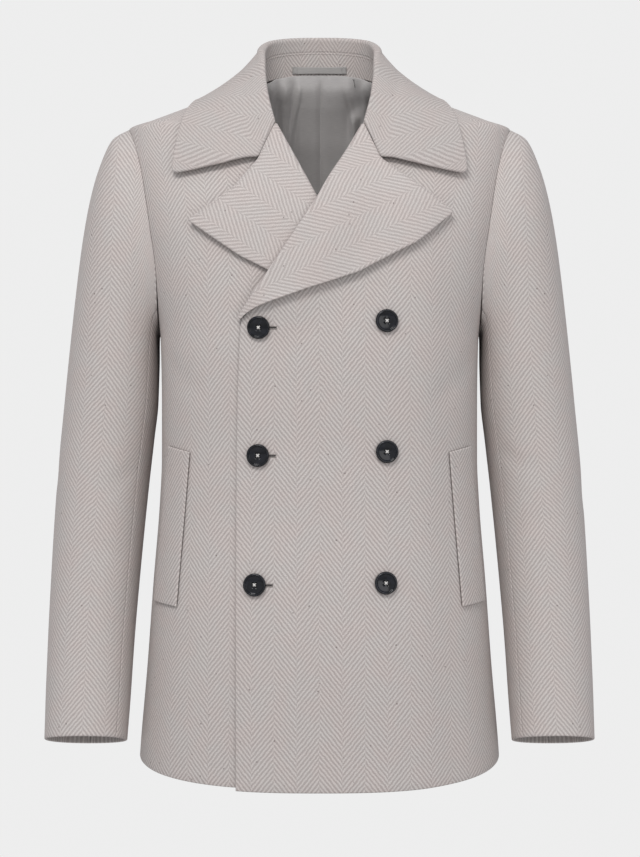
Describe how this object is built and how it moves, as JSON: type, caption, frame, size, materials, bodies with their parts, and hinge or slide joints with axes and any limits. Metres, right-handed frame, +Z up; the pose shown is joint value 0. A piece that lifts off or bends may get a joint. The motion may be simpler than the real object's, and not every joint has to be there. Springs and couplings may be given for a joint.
{
  "type": "short double-breasted coat",
  "caption": "Short double-breasted coat of pale greige herringbone wool with broad lapels, a fall collar, slanted pocket welts and dark buttons, filled out with no wearer",
  "frame": {"origin": "middle of the neck at the height of the neck points, where the coat is held", "axes": "+X is the wearer's left, +Y is the back, -Y is the front, +Z is up"},
  "size_m": [0.624, 0.3107, 0.863],
  "materials": {
    "cloth": "matte brushed herringbone wool, taupe and cream",
    "satin": "soft grey satin lining",
    "button": "polished black-navy horn-like plastic"
  },
  "bodies": {
    "root": {"front_left": "cloth", "front_right": "cloth", "back": "cloth", "back_lining": "satin", "sleeve_upper_left": "cloth", "sleeve_under_left": "cloth", "sleeve_upper_right": "cloth", "sleeve_under_right": "cloth", "lapel_left": "cloth", "lapel_right": "cloth", "collar_fall": "cloth", "collar_stand": "cloth", "hanger_loop": "satin", "pocket_welt_left": "cloth", "pocket_welt_right": "cloth", "button_1": "button", "button_2": "button", "button_3": "button", "button_4": "button", "button_5": "button", "button_6": "button"}
  },
  "joints": []
}
